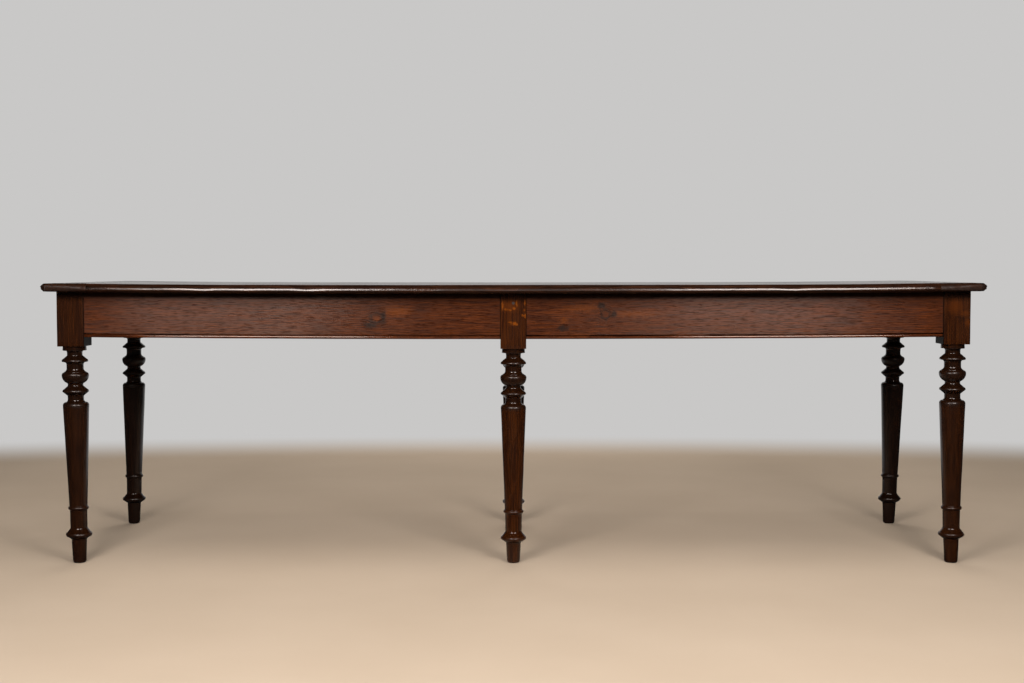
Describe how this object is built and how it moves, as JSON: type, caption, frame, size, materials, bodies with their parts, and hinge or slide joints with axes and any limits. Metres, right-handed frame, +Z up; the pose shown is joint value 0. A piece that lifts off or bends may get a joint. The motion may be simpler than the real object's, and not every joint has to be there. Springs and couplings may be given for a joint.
{
  "type": "refectory table",
  "caption": "Long dark oak refectory table: planked top with cleated ends and rounded nosing, beaded aprons and turned legs with ball and ring turnings.",
  "frame": {"origin": "on the floor, under the middle of the top", "axes": "+X along the table to the right as seen from the front, +Y to its rear, +Z up"},
  "size_m": [2.534, 0.747, 0.766],
  "materials": {
    "top_oak": "waxed, dark stained",
    "apron_oak": "waxed, brown stained",
    "turned_oak": "polished, dark stained",
    "inner_oak": "bare, sawn and planed",
    "peg_oak": "waxed end grain",
    "screw_iron": "dull, dark"
  },
  "bodies": {
    "root": {"leg_front_left": "turned_oak", "leg_front_middle": "turned_oak", "leg_front_right": "turned_oak", "leg_rear_left": "turned_oak", "leg_rear_middle": "turned_oak", "leg_rear_right": "turned_oak", "apron_front_left": "apron_oak", "apron_front_right": "apron_oak", "apron_rear_left": "apron_oak", "apron_rear_right": "apron_oak", "apron_end_left": "apron_oak", "apron_end_right": "apron_oak", "top_board_front": "top_oak", "top_board_second": "top_oak", "top_board_third": "top_oak", "top_board_rear": "top_oak", "top_cleat_left": "top_oak", "top_cleat_right": "top_oak", "cross_rail_middle": "inner_oak", "bearer_left": "inner_oak", "bearer_right": "inner_oak", "top_buttons": "inner_oak", "cleat_pegs": "peg_oak", "middle_leg_pegs": "peg_oak", "button_screws": "screw_iron", "bearer_screws": "screw_iron"}
  },
  "joints": []
}
